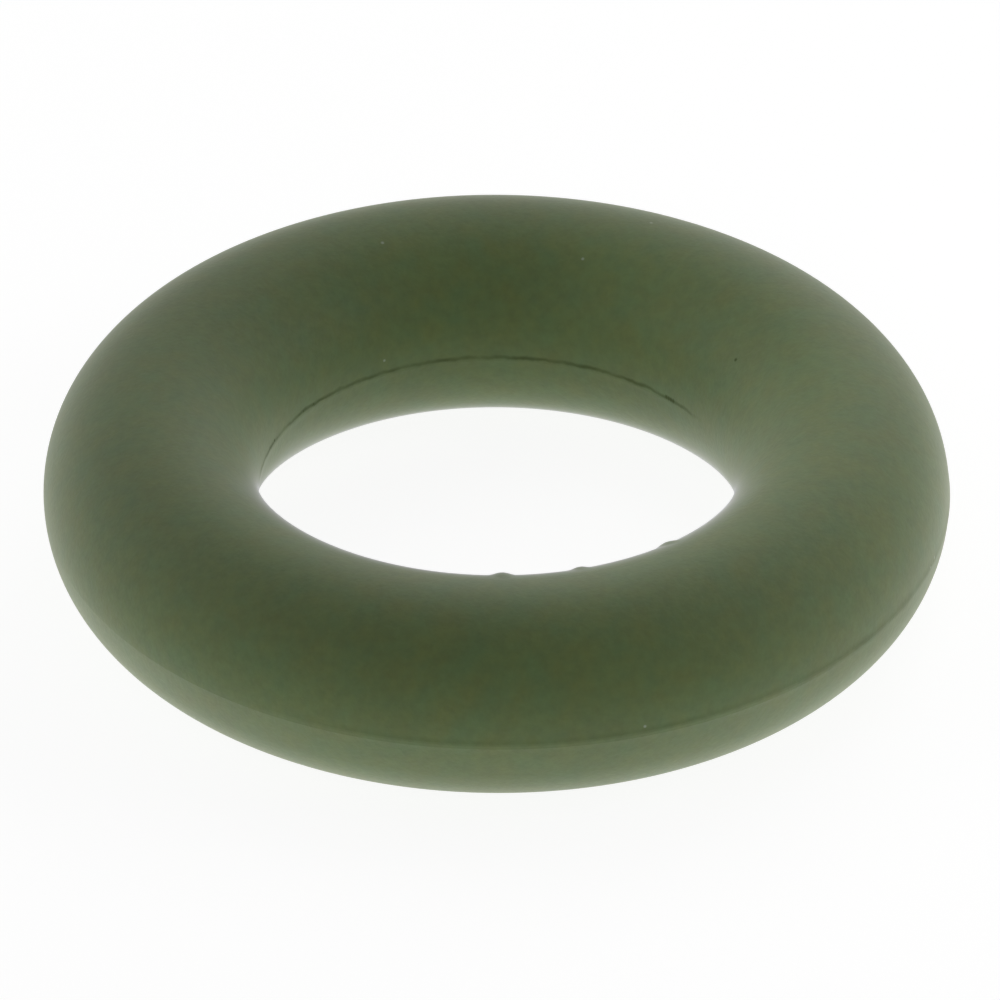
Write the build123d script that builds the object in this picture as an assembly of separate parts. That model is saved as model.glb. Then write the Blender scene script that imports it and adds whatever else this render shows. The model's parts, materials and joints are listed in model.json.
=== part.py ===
from build123d import *
import math
import os

# A moulded rubber sealing ring of round section. It lies flat, with its centre at the origin and its axis along Z.
# The mould opens at mid height, and leaves a fine trimmed ridge round the inside and the outside of the ring.

# Driving dimensions, in millimetres
inside_diameter = 5.3  # across the hole, measured beside the ridge
section_diameter = 2.4  # thickness of the round section
outer_ridge_height = 0.006  # how far the outer ridge stands out of the round section
inner_ridge_height = 0.004  # how far the ridge round the hole stands out of it
ridge_land = 0.03  # width of the trimmed face of a ridge, along the ring's axis

# Sizes that follow from them
section_radius = section_diameter / 2
centre_radius = inside_diameter / 2 + section_radius  # from the ring's axis to the middle of the section
half_land = ridge_land / 2
outer_land = centre_radius + section_radius + outer_ridge_height  # radius of the outer trimmed face
inner_land = centre_radius - section_radius - inner_ridge_height  # radius of the inner trimmed face


def flank_angle(ridge_height):
    """Angle above mid height, in degrees, at which a flank touches the round section.

    The flank is the tangent to the circle from the edge of the trimmed face, so it runs out without a crease.
    """
    reach = section_radius + ridge_height
    return math.degrees(math.atan2(half_land, reach) + math.acos(section_radius / math.hypot(reach, half_land)))


def ring_section():
    """The moulded section in the plane through the axis: two arcs, joined by a ridge on both sides."""
    outer_angle = flank_angle(outer_ridge_height)
    inner_angle = flank_angle(inner_ridge_height)
    arc = 180 - outer_angle - inner_angle
    middle = (centre_radius, 0)
    top = CenterArc(middle, section_radius, start_angle=outer_angle, arc_size=arc)
    bottom = CenterArc(middle, section_radius, start_angle=180 + inner_angle, arc_size=arc)
    inner_ridge = Polyline(top @ 1, (inner_land, half_land), (inner_land, -half_land), bottom @ 0)
    outer_ridge = Polyline(bottom @ 1, (outer_land, -half_land), (outer_land, half_land), top @ 0)
    return Plane.XZ * make_face(top + inner_ridge + bottom + outer_ridge)


def o_ring():
    """The whole ring, its section turned once round the axis."""
    return revolve(ring_section(), axis=Axis.Z)


os.makedirs("parts", exist_ok=True)
export_step(o_ring(), "parts/o_ring.step")
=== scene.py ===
"""A moulded green rubber sealing ring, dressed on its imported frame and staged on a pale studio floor."""

import json
import logging
import math
from dataclasses import dataclass, field
from enum import Enum
from typing import Any

import bmesh
import bpy
from mathutils import Matrix, Vector


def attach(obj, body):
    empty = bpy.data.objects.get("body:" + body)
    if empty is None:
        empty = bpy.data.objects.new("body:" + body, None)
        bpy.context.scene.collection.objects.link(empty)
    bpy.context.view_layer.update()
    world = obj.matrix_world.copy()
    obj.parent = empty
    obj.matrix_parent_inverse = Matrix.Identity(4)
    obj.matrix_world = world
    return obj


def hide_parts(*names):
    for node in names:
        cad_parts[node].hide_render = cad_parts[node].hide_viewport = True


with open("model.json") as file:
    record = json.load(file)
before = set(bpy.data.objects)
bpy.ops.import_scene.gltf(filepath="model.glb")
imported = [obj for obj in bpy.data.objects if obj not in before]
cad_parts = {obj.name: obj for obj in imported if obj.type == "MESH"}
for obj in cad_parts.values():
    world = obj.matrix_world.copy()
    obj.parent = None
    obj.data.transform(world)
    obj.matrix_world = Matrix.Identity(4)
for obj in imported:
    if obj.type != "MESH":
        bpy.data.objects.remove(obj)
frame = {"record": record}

MM = 0.001  # one millimetre, in Blender's metres
IMAGE_WIDTH = 1000  # pixels across the picture
NOISE_LOW, NOISE_HIGH = 0.3, 0.7  # the range that most of a noise pattern keeps to

log = logging.getLogger("sealing_ring")

Colour = tuple[float, float, float]


class Ray(Enum):
    """The kinds of ray that see the floor as plain white, by their sockets on the Light Path node."""

    CAMERA = "Is Camera Ray"
    GLOSSY = "Is Glossy Ray"
    TRANSMISSION = "Is Transmission Ray"


@dataclass(frozen=True)
class Place:
    """A small mark on the ring's surface.

    Args:
        turn: degrees about the ring's axis, from +X.
        section: degrees round the section, from the outside of the ring over its top.
        width: how wide the mark is, in metres.
    """

    turn: float
    section: float
    width: float


@dataclass(frozen=True)
class Stretch:
    """The part of the turn in which a feature of the ring shows, all in degrees about the ring's axis.

    Args:
        clear_from: where it starts to show.
        full_from: where it is whole.
        full_to: where it starts to fade.
        clear_to: where it has gone.
    """

    clear_from: float
    full_from: float
    full_to: float
    clear_to: float

    def share(self, turn: float) -> float:
        """Says how much of the feature shows at one place.

        Args:
            turn: degrees about the ring's axis.

        Returns:
            The share of it, from 0 to 1.
        """
        rise = (turn - self.clear_from) / (self.full_from - self.clear_from)
        fall = (self.clear_to - turn) / (self.clear_to - self.full_to)
        return max(0.0, min(1.0, rise, fall))


@dataclass(frozen=True)
class PaintedCreaseShade:
    """A dark line of painted shade in the crease along a part of a parting ridge, with its sizes in metres.

    Args:
        depth: how deep in colour it is, from 0 to 1.
        rise: how far above mid height it lies.
        above: how far it fades upwards.
        below: how far it fades downwards.
        wander: how far it strays up and down.
        stretch: where round the ring it shows.
    """

    depth: float
    rise: float
    above: float
    below: float
    wander: float
    stretch: Stretch


@dataclass(frozen=True)
class Lip:
    """The soft step under a parting line, where the lower half of the mould was a little smaller.

    Args:
        depth: how far the skin steps back, in metres.
        edge: how far above mid height the step starts, in metres.
        foot: the height at which it has run out below.
        brow: the height at which the skin starts to lean towards it from above.
        stretch: where round the ring it shows.
    """

    depth: float
    edge: float
    foot: float
    brow: float
    stretch: Stretch


@dataclass(frozen=True)
class Ridge:
    """A fine ridge that the joint of the mould leaves, with a trimmed face.

    Args:
        land: radius of its trimmed face, in metres.
        height: how far that face stands out of the round section.
        stretch: where round the ring the ridge stands.
        crease_shades: the lines of painted crease shade along it.
    """

    land: float
    height: float
    stretch: Stretch
    crease_shades: tuple[PaintedCreaseShade, ...]


class ShaderBench:
    """A material's node tree, with short ways to add nodes and links to it."""

    def __init__(self, name: str) -> None:
        """Makes an empty material.

        Args:
            name: the material's name.
        """
        self.material = bpy.data.materials.new(name)
        self.material.use_nodes = True
        self.tree = self.material.node_tree
        self.tree.nodes.clear()

    def node(self, kind: str, settings: dict[str, Any] | None = None, **inputs: Any) -> bpy.types.Node:
        """Adds a node.

        Args:
            kind: the node's type without its "ShaderNode" prefix.
            settings: the node's own properties, by name.
            inputs: values or output sockets for its inputs, by socket name with "_" for a blank.

        Returns:
            The new node.
        """
        made = self.tree.nodes.new("ShaderNode" + kind)
        for name, value in (settings or {}).items():
            setattr(made, name, value)
        for name, value in inputs.items():
            self.feed(made.inputs[name.replace("_", " ")], value)
        return made

    def feed(self, socket: bpy.types.NodeSocket, value: Any) -> None:
        """Links an output socket to an input, or sets the input to a plain value.

        Args:
            socket: the input.
            value: the output socket or the plain value.
        """
        if isinstance(value, bpy.types.NodeSocket):
            self.tree.links.new(value, socket)
        else:
            socket.default_value = value

    def math(self, operation: str, *values: Any) -> bpy.types.NodeSocket:
        """Adds a Math node.

        Args:
            operation: the Math node's operation.
            values: its inputs in order, as numbers or output sockets.

        Returns:
            Its result.
        """
        made = self.node("Math", {"operation": operation})
        for socket, value in zip(made.inputs, values):
            self.feed(socket, value)
        return made.outputs[0]

    def noise(self, place: bpy.types.NodeSocket, size: float, detail: float) -> bpy.types.NodeSocket:
        """Adds a noise pattern.

        Args:
            place: the coordinates that it reads.
            size: how large its blotches are, in metres.
            detail: how many finer layers it has.

        Returns:
            Its value, from 0 to 1 about 0.5.
        """
        return self.node("TexNoise", Vector=place, Scale=1 / size, Detail=detail).outputs["Fac"]

    def spread(self, value: bpy.types.NodeSocket, low: float, high: float) -> bpy.types.NodeSocket:
        """Spreads a noise value evenly over a range of its own.

        Args:
            value: the noise value.
            low: the result where the noise is low.
            high: the result where the noise is high.

        Returns:
            The result, kept between low and high.
        """
        made = self.node("MapRange", {"clamp": True}, Value=value, From_Min=NOISE_LOW, From_Max=NOISE_HIGH)
        self.feed(made.inputs["To Min"], low)
        self.feed(made.inputs["To Max"], high)
        return made.outputs["Result"]

    def fade(
        self, value: bpy.types.NodeSocket, none: float, full: float, kind: str = "SMOOTHSTEP"
    ) -> bpy.types.NodeSocket:
        """Maps a value from none, where the result is 0, to full, where it is 1.

        Args:
            value: the value to map.
            none: the value that gives 0.
            full: the value that gives 1.
            kind: the Map Range node's interpolation.

        Returns:
            The result, kept between 0 and 1.
        """
        made = self.node("MapRange", {"interpolation_type": kind}, Value=value, From_Min=none, From_Max=full)
        return made.outputs["Result"]

    def mix(self, share: Any, first: Any, second: Any, blend: str = "MIX") -> bpy.types.NodeSocket:
        """Mixes two colours.

        Args:
            share: how much of the second colour shows, from 0 to 1.
            first: the colour underneath.
            second: the colour on top.
            blend: the Mix node's blend type.

        Returns:
            The mixed colour.
        """
        made = self.node("Mix", {"data_type": "RGBA", "blend_type": blend})
        self.feed(made.inputs["Factor"], share)
        self.feed(made.inputs[6], first if isinstance(first, bpy.types.NodeSocket) else (*first, 1))
        self.feed(made.inputs[7], second if isinstance(second, bpy.types.NodeSocket) else (*second, 1))
        return made.outputs[2]

    def finish(self, shader: bpy.types.NodeSocket) -> bpy.types.Material:
        """Ends the tree in that shader, and returns the material."""
        self.node("OutputMaterial", Surface=shader)
        return self.material


@dataclass(frozen=True)
class RubberFinish:
    """The finish of the moulded rubber: satin, faintly blotched in colour, with painted shade along its
    parting lines and a painted pale rim highlight at the hole's edges.

    Args:
        name: the material's name.
        olive: the browner of its two greens.
        sage: the bluer of its two greens.
        dust: the colour of the grains of dust.
        painted_shade: the dark colour painted as shade in the parting lines' creases and in the small pits.
        roughness: how matt it is on average.
        roughness_spread: how far the roughness strays either way.
        sheen: strength of the soft sheen that shows where the skin turns away.
        sheen_roughness: how far that sheen spreads.
        sheen_tint: its colour.
        painted_rim_highlight: the colour of a painted pale rim highlight in the hole, which shows only at its
            edges.
        painted_rim_strength: how strong that painted highlight is.
        painted_rim_reach: how far into the hole it takes to come up, as a share of the section's radius.
        painted_rim_edge: how closely it keeps to the edge, in front and behind.
        painted_rim_side_edge: how closely it keeps to the edge at the hole's two sides.
        side_from: where the sides of the hole end, as a share of its radius.
        side_to: where its front and back begin, as a share of its radius.
        blotch: size of the blotches of colour, in metres.
        cloud: size of the slow changes of tone, in metres.
        cloud_depth: how much darker the darkest cloud is.
        dapple: size of the fine changes of tone, in metres.
        dapple_depth: how much darker the darkest dapple is.
        grain: size of the skin's fine grain, in metres.
        grain_depth: height of the fine grain, in metres.
        patch: length of the patches in which the parting lines' painted shade shows, in metres.
        patch_least: how much of the painted shade is left between the patches.
        stray: length over which the parting lines stray up and down, in metres.
        mark_depth: how strong a grain of dust or a painted pit shade is in colour.
        mark_core: the part of a mark's width that has its full colour.
    """

    name: str = "green_rubber"
    olive: Colour = (0.114, 0.155, 0.033)
    sage: Colour = (0.0935, 0.160, 0.045)
    dust: Colour = (0.27, 0.32, 0.24)
    # painted shade: the dark colour put into the parting lines' creases and the small pits
    painted_shade: Colour = (0.052, 0.066, 0.026)
    roughness: float = 0.65
    roughness_spread: float = 0.05
    sheen: float = 0.54
    sheen_roughness: float = 0.5
    sheen_tint: Colour = (0.97, 1.0, 0.86)
    # painted rim highlight: a pale colour mixed in at the hole's grazing edges
    painted_rim_highlight: Colour = (0.80, 0.79, 0.82)
    painted_rim_strength: float = 1.3
    painted_rim_reach: float = 0.37
    painted_rim_edge: float = 9.0
    painted_rim_side_edge: float = 20.0
    side_from: float = 0.15
    side_to: float = 0.60
    blotch: float = 0.35 * MM
    cloud: float = 1.6 * MM
    cloud_depth: float = 0.10
    dapple: float = 0.12 * MM
    dapple_depth: float = 0.16
    grain: float = 0.05 * MM
    grain_depth: float = 0.0022 * MM
    patch: float = 0.45 * MM
    patch_least: float = 0.1
    stray: float = 0.15 * MM
    mark_depth: float = 0.75
    mark_core: float = 0.25

    def material(self, ring: "SealingRing") -> bpy.types.Material:
        """Makes the rubber's material.

        Args:
            ring: the ring that wears it.

        Returns:
            The material.
        """
        bench = ShaderBench(self.name)
        place = bench.node("TexCoord").outputs["Object"]
        blotches = bench.spread(bench.noise(place, self.blotch, 4.0), 0.0, 1.0)
        clouds = bench.spread(bench.noise(place, self.cloud, 2.0), 1 - self.cloud_depth, 1.0)
        dapples = bench.spread(bench.noise(place, self.dapple, 2.0), 1 - self.dapple_depth, 1.0)
        grain = bench.noise(place, self.grain, 2.0)
        tone = bench.math("MULTIPLY", clouds, dapples)
        shade = bench.node("CombineColor", Red=tone, Green=tone, Blue=tone).outputs[0]
        colour = bench.mix(blotches, self.olive, self.sage)
        colour = bench.mix(1.0, colour, shade, "MULTIPLY")
        colour = bench.mix(self.mark_mask(bench, place, ring, ring.specks), colour, self.dust)
        low = self.roughness - self.roughness_spread
        high = self.roughness + self.roughness_spread
        step = bench.node("Bump", Strength=1.0, Distance=ring.lip.depth)
        bench.feed(step.inputs["Height"], self.lip_height(bench, place, ring))
        bump = bench.node("Bump", Height=grain, Strength=1.0, Distance=self.grain_depth)
        bench.feed(bump.inputs["Normal"], step.outputs[0])
        rubber = bench.node("BsdfPrincipled", Base_Color=colour, Normal=bump.outputs[0])
        bench.feed(rubber.inputs["Roughness"], bench.spread(grain, low, high))
        bench.feed(rubber.inputs["Sheen Weight"], self.sheen)
        bench.feed(rubber.inputs["Sheen Roughness"], self.sheen_roughness)
        bench.feed(rubber.inputs["Sheen Tint"], (*self.sheen_tint, 1))
        # painted shade of small pits, mixed in with the same dark colour as the creases
        painted_pits = self.mark_mask(bench, place, ring, ring.painted_pits)
        # painted shade: a dark diffuse without sheen, mixed into the parting-line creases and the small pits
        painted_shade = bench.node("BsdfDiffuse", Color=(*self.painted_shade, 1))
        skin = bench.node("MixShader", Fac=bench.math("MAXIMUM", self.crease_shade_mask(bench, place, ring), painted_pits))
        bench.feed(skin.inputs[1], rubber.outputs[0])
        bench.feed(skin.inputs[2], painted_shade.outputs[0])
        # painted rim highlight: a pale diffuse mixed in where the skin in the hole turns away
        painted_rim_highlight = bench.node("BsdfDiffuse", Color=(*self.painted_rim_highlight, 1))
        whole = bench.node("MixShader", Fac=self.painted_rim_mask(bench, place, ring))
        bench.feed(whole.inputs[1], skin.outputs[0])
        bench.feed(whole.inputs[2], painted_rim_highlight.outputs[0])
        return bench.finish(whole.outputs[0])

    def painted_rim_mask(
        self, bench: ShaderBench, place: bpy.types.NodeSocket, ring: "SealingRing"
    ) -> bpy.types.NodeSocket:
        """Adds the mask of the painted rim highlight, a pale sheen painted in the hole where the skin turns
        away.

        Args:
            bench: the material's nodes.
            place: the coordinates on the piece.
            ring: the ring that wears the finish.

        Returns:
            How much of the painted rim highlight shows, from 0 to 1.
        """
        reach = bench.node("VectorMath", {"operation": "LENGTH"}, Vector=place).outputs["Value"]
        full = ring.centre_radius - self.painted_rim_reach * ring.section_radius
        inside = bench.fade(reach, ring.centre_radius, full)
        facing = bench.node("LayerWeight", Blend=0.5).outputs["Facing"]
        aside = bench.math("ABSOLUTE", bench.node("SeparateXYZ", Vector=place).outputs["Y"])
        ends = bench.fade(aside, self.side_from * ring.hole_radius, self.side_to * ring.hole_radius)
        edge = bench.math("MULTIPLY_ADD", ends, self.painted_rim_edge - self.painted_rim_side_edge, self.painted_rim_side_edge)
        sheen = bench.math("MULTIPLY", bench.math("POWER", facing, edge), self.painted_rim_strength)
        return bench.math("MULTIPLY", inside, bench.math("MINIMUM", sheen, 1.0))

    @staticmethod
    def turn_share(
        bench: ShaderBench, place: bpy.types.NodeSocket, stretch: Stretch
    ) -> bpy.types.NodeSocket:
        """Adds the mask of a stretch of the turn.

        Args:
            bench: the material's nodes.
            place: the coordinates on the piece.
            stretch: the stretch that shows.

        Returns:
            A value that is 1 in the stretch and 0 beside it.
        """
        x, y, _ = bench.node("SeparateXYZ", Vector=place).outputs
        turn = bench.math("DEGREES", bench.math("ARCTAN2", y, x))
        rise = bench.fade(turn, stretch.clear_from, stretch.full_from)
        fall = bench.fade(turn, stretch.clear_to, stretch.full_to)
        return bench.math("MULTIPLY", rise, fall)

    @staticmethod
    def in_hole(bench: ShaderBench, place: bpy.types.NodeSocket, ring: "SealingRing") -> bpy.types.NodeSocket:
        """Adds a value that is 1 on the half of the skin that faces the hole, and 0 on the outer half."""
        reach = bench.node("VectorMath", {"operation": "LENGTH"}, Vector=place).outputs["Value"]
        return bench.math("LESS_THAN", reach, ring.centre_radius)

    def lip_height(
        self, bench: ShaderBench, place: bpy.types.NodeSocket, ring: "SealingRing"
    ) -> bpy.types.NodeSocket:
        """Adds the height of the soft step under the outer parting line.

        Args:
            bench: the material's nodes.
            place: the coordinates on the piece.
            ring: the ring that wears the finish.

        Returns:
            The height, from 0 to 1.
        """
        z = bench.node("SeparateXYZ", Vector=place).outputs["Z"]
        below = bench.fade(z, ring.lip.foot, ring.lip.edge, "LINEAR")
        above = bench.fade(z, ring.lip.brow, ring.lip.edge)
        profile = bench.math("MULTIPLY", bench.math("POWER", below, 2.0), above)
        outside = bench.math("SUBTRACT", 1.0, self.in_hole(bench, place, ring))
        share = self.turn_share(bench, place, ring.lip.stretch)
        return bench.math("MULTIPLY", profile, bench.math("MULTIPLY", outside, share))

    def crease_shade_mask(
        self, bench: ShaderBench, place: bpy.types.NodeSocket, ring: "SealingRing"
    ) -> bpy.types.NodeSocket:
        """Adds the mask of the painted shade in the creases of the two parting lines, which shows in patches
        along a part of the turn.

        Args:
            bench: the material's nodes.
            place: the coordinates on the piece.
            ring: the ring that wears the finish.

        Returns:
            How much of the painted shade shows, from 0 to 1.
        """
        z = bench.node("SeparateXYZ", Vector=place).outputs["Z"]
        strays = bench.noise(place, self.stray, 2.0)
        patches = bench.spread(bench.noise(place, self.patch, 3.0), self.patch_least, 1.0)
        bands = []
        for ridge in (ring.outer, ring.inner):
            band: Any = 0.0
            for crease_shade in ridge.crease_shades:
                middle = bench.spread(strays, crease_shade.rise - crease_shade.wander, crease_shade.rise + crease_shade.wander)
                height = bench.math("SUBTRACT", z, middle)
                upper = bench.fade(height, crease_shade.above, 0.0)
                lower = bench.fade(height, -crease_shade.below, 0.0)
                share = bench.math("MULTIPLY", self.turn_share(bench, place, crease_shade.stretch), crease_shade.depth)
                painted_shade = bench.math("MULTIPLY", bench.math("MULTIPLY", upper, lower), share)
                band = bench.math("MAXIMUM", band, painted_shade)
            bands.append(band)
        either = bench.node("Mix", {"data_type": "FLOAT"}, Factor=self.in_hole(bench, place, ring))
        bench.feed(either.inputs[2], bands[0])
        bench.feed(either.inputs[3], bands[1])
        return bench.math("MULTIPLY", either.outputs[0], patches)

    def mark_mask(
        self, bench: ShaderBench, place: bpy.types.NodeSocket, ring: "SealingRing", marks: tuple[Place, ...]
    ) -> bpy.types.NodeSocket:
        """Adds the mask of a set of small marks.

        Args:
            bench: the material's nodes.
            place: the coordinates on the piece.
            ring: the ring that wears the finish.
            marks: where the marks are.

        Returns:
            A value that is near 1 on a mark and 0 beside it.
        """
        mask: Any = 0.0
        for mark in marks:
            away = bench.node("VectorMath", {"operation": "DISTANCE"})
            bench.feed(away.inputs[0], place)
            bench.feed(away.inputs[1], ring.point(mark))
            spot = bench.fade(away.outputs["Value"], mark.width / 2, self.mark_core * mark.width / 2)
            mask = bench.math("MAXIMUM", mask, bench.math("MULTIPLY", spot, self.mark_depth))
        return mask


@dataclass
class SealingRing:
    """The moulded ring: a round section with a fine trimmed ridge inside and outside, at mid height.

    Args:
        outer: the ridge round the outside.
        inner: the ridge round the hole.
        land_width: width of the trimmed faces, along the axis.
        arc_steps: faces over the top half of the section.
        flank_steps: faces up each flank of a ridge.
        quarter_steps: faces in a quarter of the turn.
        sharp_from: share of a ridge's height from which its crest is a sharp edge.
        lip: the soft step under the outer parting line.
        lumps: where the skin swells a little.
        lump_rise: how far it swells there, as a share of the lump's width.
        lump_length: how long a lump is across the hole's edge, as a multiple of its width.
        specks: where the grains of dust lie.
        painted_pits: where dark spots are painted as the shade of small pits, most of them in the parting
            line.
        finish: the rubber's finish.
    """

    outer: Ridge
    inner: Ridge
    land_width: float
    arc_steps: int = 90
    flank_steps: int = 4
    quarter_steps: int = 120
    sharp_from: float = 0.3
    lip: Lip = Lip(
        depth=0.042 * MM,
        edge=-0.055 * MM,
        foot=-0.455 * MM,
        brow=1.0 * MM,
        stretch=Stretch(clear_from=-175, full_from=-125, full_to=-62, clear_to=-32),
    )
    lumps: tuple[Place, ...] = (
        Place(turn=-88.8, section=124.0, width=0.32 * MM),
        Place(turn=-73.1, section=125.0, width=0.24 * MM),
        Place(turn=-52.4, section=130.0, width=0.26 * MM),
    )
    lump_rise: float = 0.10
    lump_length: float = 2.0
    specks: tuple[Place, ...] = (
        Place(turn=111.6, section=106.0, width=0.055 * MM),
        Place(turn=73.0, section=119.1, width=0.05 * MM),
        Place(turn=64.8, section=80.4, width=0.055 * MM),
        Place(turn=118.4, section=171.3, width=0.045 * MM),
        Place(turn=-71.0, section=3.6, width=0.05 * MM),
        Place(turn=-15.7, section=2.1, width=0.06 * MM),
        Place(turn=-17.5, section=0.7, width=0.05 * MM),
    )
    # painted shade: dark spots that stand for the shade in small pits
    painted_pits: tuple[Place, ...] = (
        Place(turn=159.7, section=178.0, width=0.06 * MM),
        Place(turn=144.9, section=178.2, width=0.05 * MM),
        Place(turn=140.9, section=178.2, width=0.05 * MM),
        Place(turn=44.2, section=178.3, width=0.08 * MM),
        Place(turn=43.4, section=178.3, width=0.08 * MM),
        Place(turn=42.6, section=178.3, width=0.08 * MM),
        Place(turn=41.8, section=178.3, width=0.08 * MM),
        Place(turn=27.4, section=135.0, width=0.06 * MM),
    )
    finish: RubberFinish = field(default_factory=RubberFinish)

    @classmethod
    def from_record(cls, record: dict[str, Any]) -> "SealingRing":
        """Reads the ring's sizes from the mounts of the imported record.

        Args:
            record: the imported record.

        Returns:
            The ring.
        """
        mounts = {mount["name"]: mount["dims"] for mount in record["mounts"]}
        return cls(
            outer=Ridge(
                land=mounts["outside"]["r_mm"] * MM,
                height=0.006 * MM,
                stretch=Stretch(clear_from=-130, full_from=-105, full_to=150, clear_to=172),
                crease_shades=(
                    PaintedCreaseShade(
                        depth=0.20,
                        rise=0.02 * MM,
                        above=0.07 * MM,
                        below=0.05 * MM,
                        wander=0.006 * MM,
                        stretch=Stretch(clear_from=-118, full_from=-100, full_to=-48, clear_to=-30),
                    ),
                    PaintedCreaseShade(
                        depth=0.36,
                        rise=0.0,
                        above=0.10 * MM,
                        below=0.08 * MM,
                        wander=0.010 * MM,
                        stretch=Stretch(clear_from=-58, full_from=-40, full_to=-22, clear_to=-12),
                    ),
                ),
            ),
            inner=Ridge(
                land=mounts["inside"]["r_mm"] * MM,
                height=0.004 * MM,
                stretch=Stretch(clear_from=30, full_from=50, full_to=171, clear_to=179),
                crease_shades=(
                    PaintedCreaseShade(
                        depth=0.8,
                        rise=0.033 * MM,
                        above=0.040 * MM,
                        below=0.036 * MM,
                        wander=0.012 * MM,
                        stretch=Stretch(clear_from=28, full_from=42, full_to=169, clear_to=177),
                    ),
                ),
            ),
            land_width=mounts["outside"]["length_mm"] * MM,
        )

    @property
    def outer_radius(self) -> float:
        """Radius of the round section's outside, beside the ridge."""
        return self.outer.land - self.outer.height

    @property
    def hole_radius(self) -> float:
        """Radius of the hole, beside the ridge."""
        return self.inner.land + self.inner.height

    @property
    def centre_radius(self) -> float:
        """From the ring's axis to the middle of its section."""
        return (self.outer_radius + self.hole_radius) / 2

    @property
    def section_radius(self) -> float:
        """Radius of the round section."""
        return (self.outer_radius - self.hole_radius) / 2

    @property
    def same_point(self) -> float:
        """Points closer than this are taken as one."""
        return self.land_width / 100

    def point(self, place: Place) -> Vector:
        """Finds a mark's place on the round surface.

        Args:
            place: the mark.

        Returns:
            Its point.
        """
        t, s = math.radians(place.turn), math.radians(place.section)
        flat = self.centre_radius + self.section_radius * math.cos(s)
        return Vector((flat * math.cos(t), flat * math.sin(t), self.section_radius * math.sin(s)))

    def flank_angle(self, ridge: Ridge) -> float:
        """Finds where a ridge's flank touches the round section.

        Args:
            ridge: the ridge.

        Returns:
            The angle above mid height, in radians.
        """
        reach = self.section_radius + ridge.height
        tilt = math.atan2(self.land_width / 2, reach)
        return tilt + math.acos(self.section_radius / math.hypot(reach, self.land_width / 2))

    def build(self) -> bpy.types.Object:
        """Models the ring.

        Returns:
            Its object, which stands for the CAD node.
        """
        near = self.same_point
        shape = bmesh.new()
        self._draw_top_half(shape)
        everything = shape.verts[:] + shape.edges[:]
        bmesh.ops.mirror(shape, geom=everything, matrix=Matrix.Identity(4), merge_dist=near, axis="Z")
        everything = shape.verts[:] + shape.edges[:]
        quarter = {"angle": math.pi / 2, "steps": self.quarter_steps}
        bmesh.ops.spin(shape, geom=everything, cent=(0, 0, 0), axis=(0, 0, 1), **quarter)
        for axis in "XY":
            everything = shape.verts[:] + shape.edges[:] + shape.faces[:]
            bmesh.ops.mirror(shape, geom=everything, matrix=Matrix.Identity(4), merge_dist=near, axis=axis)
        bmesh.ops.remove_doubles(shape, verts=shape.verts[:], dist=near)
        bmesh.ops.recalc_face_normals(shape, faces=shape.faces[:])
        for face in shape.faces:
            face.smooth = True
        self._wear_ridges(shape)
        self._raise_lumps(shape)
        mesh = bpy.data.meshes.new("moulded_ring")
        shape.to_mesh(mesh)
        shape.free()
        piece = bpy.data.objects.new("moulded_ring", mesh)
        bpy.context.scene.collection.objects.link(piece)
        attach(piece, "root")
        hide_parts("o_ring")
        return piece

    def _draw_top_half(self, shape: bmesh.types.BMesh) -> None:
        """Draws the section above mid height, as a chain of edges from the outer ridge to the inner one.

        Args:
            shape: the mesh that gets the chain.
        """
        outer, inner = self.flank_angle(self.outer), self.flank_angle(self.inner)
        middle = Vector((self.centre_radius, 0, 0))
        outer_foot = middle + self.section_radius * Vector((math.cos(outer), 0, math.sin(outer)))
        outer_crest = Vector((self.outer.land, 0, self.land_width / 2))
        inner_crest = Vector((self.inner.land, 0, self.land_width / 2))
        tip = shape.verts.new((self.outer.land, 0, 0))
        tip = self._extrude_to(shape, tip, outer_crest, 1)
        tip = self._extrude_to(shape, tip, outer_foot, self.flank_steps)
        turn = {"axis": (0, -1, 0), "angle": math.pi - outer - inner, "steps": self.arc_steps}
        arc = bmesh.ops.spin(shape, geom=[tip], cent=middle, **turn)
        tip = next(item for item in arc["geom_last"] if isinstance(item, bmesh.types.BMVert))
        tip = self._extrude_to(shape, tip, inner_crest, self.flank_steps)
        self._extrude_to(shape, tip, Vector((self.inner.land, 0, 0)), 1)

    @staticmethod
    def _extrude_to(
        shape: bmesh.types.BMesh, tip: bmesh.types.BMVert, goal: Vector, steps: int
    ) -> bmesh.types.BMVert:
        """Extrudes the chain's end in a straight line.

        Args:
            shape: the mesh that has the chain.
            tip: the chain's end.
            goal: the point that it goes to.
            steps: how many equal edges it takes.

        Returns:
            The new end.
        """
        start = tip.co.copy()
        for step in range(1, steps + 1):
            tip = bmesh.ops.extrude_vert_indiv(shape, verts=[tip])["verts"][0]
            tip.co = start.lerp(goal, step / steps)
        return tip

    def _wear_ridges(self, shape: bmesh.types.BMesh) -> None:
        """Takes the ridges down where they don't show, and sharpens their crests elsewhere.

        Args:
            shape: the ring.
        """
        near = self.same_point
        standing = {}
        for vert in shape.verts:
            reach = math.hypot(vert.co.x, vert.co.y)
            ridge = self.outer if reach > self.centre_radius else self.inner
            share = ridge.stretch.share(math.degrees(math.atan2(vert.co.y, vert.co.x)))
            standing[vert] = share
            middle = Vector((vert.co.x, vert.co.y, 0)) * (self.centre_radius / reach)
            spoke = vert.co - middle
            excess = spoke.length - self.section_radius
            if excess > near / 10:
                vert.co = middle + spoke * ((self.section_radius + excess * share) / spoke.length)
        for edge in shape.edges:
            on_crest = all(abs(abs(vert.co.z) - self.land_width / 2) < near for vert in edge.verts)
            edge.smooth = not (on_crest and all(standing[vert] > self.sharp_from for vert in edge.verts))

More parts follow.
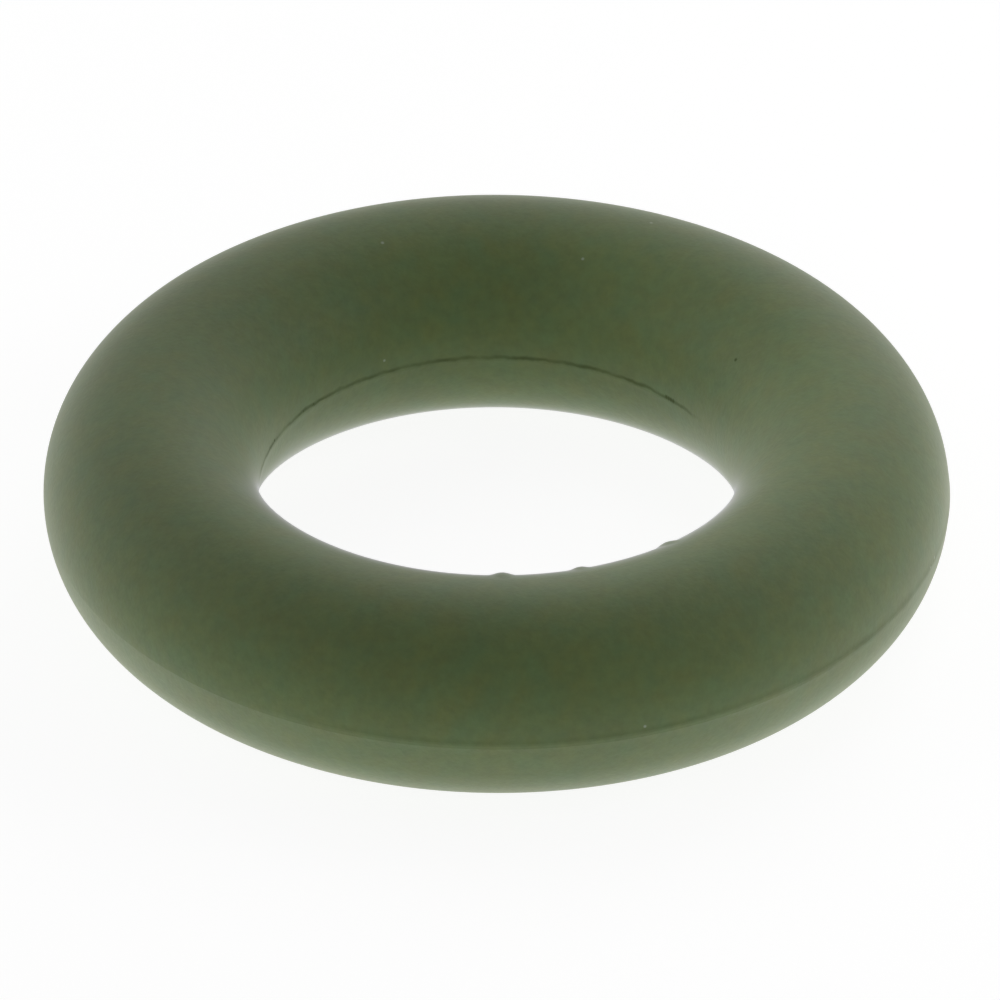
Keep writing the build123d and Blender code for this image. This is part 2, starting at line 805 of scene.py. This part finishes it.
    def _raise_lumps(self, shape: bmesh.types.BMesh) -> None:
        """Swells the skin a little at each lump.

        Args:
            shape: the ring.
        """
        shape.normal_update()
        for lump in self.lumps:
            middle = self.point(lump)
            along = Vector((-middle.y, middle.x, 0)).normalized()
            for vert in shape.verts:
                away = vert.co - middle
                aside = away.dot(along)
                across = (away - aside * along).length / self.lump_length
                share = math.hypot(aside, across) / (lump.width / 2)
                if share < 1:
                    vert.co += vert.normal * lump.width * self.lump_rise * (1 - share**2) ** 2

    def dress(self, piece: bpy.types.Object) -> None:
        """Gives the ring its rubber finish."""
        piece.data.materials.append(self.finish.material(self))


@dataclass
class StudioFloor:
    """A round pale floor with a low upstand, which rays of the camera see as almost plain white.

    Args:
        height: where the ring rests on it, in metres.
        radius: how far it reaches from the ring.
        upstand: height of its rim, which fills the background in level views.
        steps: faces round its rim.
        colour: how much light the floor reflects.
        white: strength of the white that the camera, gloss and glass see.
        shadow: how much of the lit floor they see on top of it, so that the ring's shadow shows.
    """

    height: float
    radius: float = 500 * MM
    upstand: float = 40 * MM
    steps: int = 96
    colour: float = 0.85
    white: float = 0.90
    shadow: float = 0.20

    def build(self) -> bpy.types.Object:
        """Models the floor.

        Returns:
            Its object.
        """
        shape = bmesh.new()
        bmesh.ops.create_circle(shape, cap_ends=True, segments=self.steps, radius=self.radius)
        rim = [edge for edge in shape.edges if edge.is_boundary]
        raised = bmesh.ops.extrude_edge_only(shape, edges=rim)["geom"]
        corners = [item for item in raised if isinstance(item, bmesh.types.BMVert)]
        bmesh.ops.translate(shape, verts=corners, vec=(0, 0, self.upstand))
        bmesh.ops.translate(shape, verts=shape.verts[:], vec=(0, 0, self.height))
        mesh = bpy.data.meshes.new("studio_floor")
        shape.to_mesh(mesh)
        shape.free()
        floor = bpy.data.objects.new("studio_floor", mesh)
        bpy.context.scene.collection.objects.link(floor)
        return floor

    def dress(self, floor: bpy.types.Object) -> None:
        """Gives the floor its material: plainly lit for soft light, and white for rays of the camera.

        Args:
            floor: the floor's object.
        """
        bench = ShaderBench("pale_floor")
        lit = bench.node("BsdfDiffuse", Color=(self.colour,) * 3 + (1,))
        faint = bench.node("BsdfDiffuse", Color=(self.shadow,) * 3 + (1,))
        glow = bench.node("Emission", Strength=self.white)
        seen = bench.node("AddShader")
        bench.feed(seen.inputs[0], faint.outputs[0])
        bench.feed(seen.inputs[1], glow.outputs[0])
        path = bench.node("LightPath")
        share: Any = 0.0
        for ray in Ray:
            share = bench.math("MAXIMUM", share, path.outputs[ray.value])
        both = bench.node("MixShader", Fac=share)
        bench.feed(both.inputs[1], lit.outputs[0])
        bench.feed(both.inputs[2], seen.outputs[0])
        floor.data.materials.append(bench.finish(both.outputs[0]))


@dataclass(frozen=True)
class SoftBox:
    """A soft box: a square lamp that the camera doesn't see.

    Args:
        name: the lamp's name.
        azimuth: degrees round the ring, from the camera's side towards the ring's right.
        elevation: degrees above the floor.
        distance: from the ring's centre, in metres.
        size: its edge, in metres.
        glow: how bright its face is, where 1 is the white of a fully lit sheet.
        aim: the point that it faces, in metres.
        in_gloss: whether gloss mirrors it.
    """

    name: str
    azimuth: float
    elevation: float
    distance: float
    size: float
    glow: float
    aim: tuple[float, float, float] = (0.0, 0.0, 0.0)
    in_gloss: bool = True

    def hang(self) -> bpy.types.Object:
        """Makes the lamp and hangs it in its place.

        Returns:
            Its object.
        """
        lamp = bpy.data.lights.new(self.name, "AREA")
        lamp.shape = "SQUARE"
        lamp.size = self.size
        lamp.energy = self.glow * math.pi * self.size**2
        a, e = math.radians(self.azimuth), math.radians(self.elevation)
        away = Vector((math.sin(a) * math.cos(e), -math.cos(a) * math.cos(e), math.sin(e)))
        held = bpy.data.objects.new(self.name, lamp)
        held.location = away * self.distance
        held.rotation_mode = "QUATERNION"
        held.rotation_quaternion = (held.location - Vector(self.aim)).to_track_quat("Z", "Y")
        held.visible_camera = False
        held.visible_glossy = self.in_gloss
        bpy.context.scene.collection.objects.link(held)
        return held


@dataclass
class Studio:
    """The soft light round the ring: bright at the sides and behind, dim in front, and soft from the table.

    Args:
        boxes: the soft boxes.
        room: strength of the even light of the room.
    """

    boxes: tuple[SoftBox, ...] = (
        SoftBox("right_box", azimuth=90, elevation=25, distance=60 * MM, size=40 * MM, glow=1.62),
        SoftBox("back_right_box", azimuth=150, elevation=25, distance=60 * MM, size=40 * MM, glow=1.35),
        SoftBox("high_back_box", azimuth=180, elevation=55, distance=60 * MM, size=40 * MM, glow=0.59),
        SoftBox("back_left_box", azimuth=240, elevation=30, distance=60 * MM, size=60 * MM, glow=0.89),
        SoftBox("left_box", azimuth=300, elevation=25, distance=60 * MM, size=50 * MM, glow=0.71),
        SoftBox("front_box", azimuth=0, elevation=25, distance=60 * MM, size=40 * MM, glow=0.76),
        SoftBox("top_lamp", azimuth=90, elevation=48.8, distance=10.6 * MM, size=6 * MM, glow=1.05,
                aim=(4.6 * MM, 0, 0)),
        SoftBox("end_lamp", azimuth=0, elevation=90, distance=3.5 * MM, size=3 * MM, glow=1.21,
                aim=(0.1, 0, 3.5 * MM)),
        SoftBox("near_lamp", azimuth=180, elevation=69.4, distance=4.27 * MM, size=3 * MM, glow=0.83,
                aim=(0, -0.1, 4.0 * MM)),
        SoftBox("table_lamp", azimuth=0, elevation=-90, distance=1.19 * MM, size=40 * MM, glow=0.7,
                in_gloss=False),
    )
    room: float = 0.02

    def light(self) -> None:
        """Hangs the soft boxes and sets the room's light."""
        for box in self.boxes:
            box.hang()
        world = bpy.data.worlds.new("studio_room")
        world.use_nodes = True
        world.node_tree.nodes["Background"].inputs["Color"].default_value = (1, 1, 1, 1)
        world.node_tree.nodes["Background"].inputs["Strength"].default_value = self.room
        bpy.context.scene.world = world


@dataclass
class ProductCamera:
    """The camera, which looks down on the ring from the front through a long lens.

    Args:
        elevation: degrees above the floor.
        roll: degrees that the picture leans.
        distance: from the ring's centre, in metres.
        pixels_per_mm: scale of the picture at the ring's centre.
        centre_x: the picture's pixel column where the ring's centre lies.
        centre_y: the picture's pixel row where the ring's centre lies.
        sensor: width of the sensor, in millimetres.
        depth_range: how many times nearer and further than the ring the camera sees.
    """

    elevation: float = 33.70
    roll: float = -0.285
    distance: float = 269.5 * MM
    pixels_per_mm: float = 89.7
    centre_x: float = 496.55
    centre_y: float = 490.3
    sensor: float = 36.0
    depth_range: float = 10.0

    def place(self) -> bpy.types.Object:
        """Makes the camera, puts it in its place and makes it the scene's camera.

        Returns:
            Its object.
        """
        lens = bpy.data.cameras.new("product_camera")
        lens.sensor_width = self.sensor
        lens.lens = self.sensor * self.pixels_per_mm * self.distance / MM / IMAGE_WIDTH
        lens.clip_start = self.distance / self.depth_range
        lens.clip_end = self.distance * self.depth_range
        e, lean = math.radians(self.elevation), math.radians(self.roll)
        back = Vector((0, -math.cos(e), math.sin(e)))
        level = Vector((1, 0, 0))
        rise = back.cross(level)
        right = level * math.cos(lean) - rise * math.sin(lean)
        up = level * math.sin(lean) + rise * math.cos(lean)
        aside = (IMAGE_WIDTH / 2 - self.centre_x) / self.pixels_per_mm * MM
        below = (IMAGE_WIDTH / 2 - self.centre_y) / self.pixels_per_mm * MM
        pose = Matrix((right, up, back)).transposed().to_4x4()
        pose.translation = back * self.distance + right * aside - up * below
        camera = bpy.data.objects.new("product_camera", lens)
        camera.matrix_world = pose
        bpy.context.scene.collection.objects.link(camera)
        bpy.context.scene.camera = camera
        return camera


def main() -> None:
    """Builds the ring, its floor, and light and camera."""
    logging.basicConfig(level=logging.INFO, format="%(name)s: %(message)s")
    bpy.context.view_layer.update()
    ring = SealingRing.from_record(frame["record"])
    piece = ring.build()
    ring.dress(piece)
    log.info("%s has %d faces", piece.name, len(piece.data.polygons))
    floor = StudioFloor(height=-ring.section_radius)
    floor.dress(floor.build())
    Studio().light()
    ProductCamera().place()
    bpy.context.scene.view_settings.view_transform = "Standard"


if __name__ == "__main__":
    main()
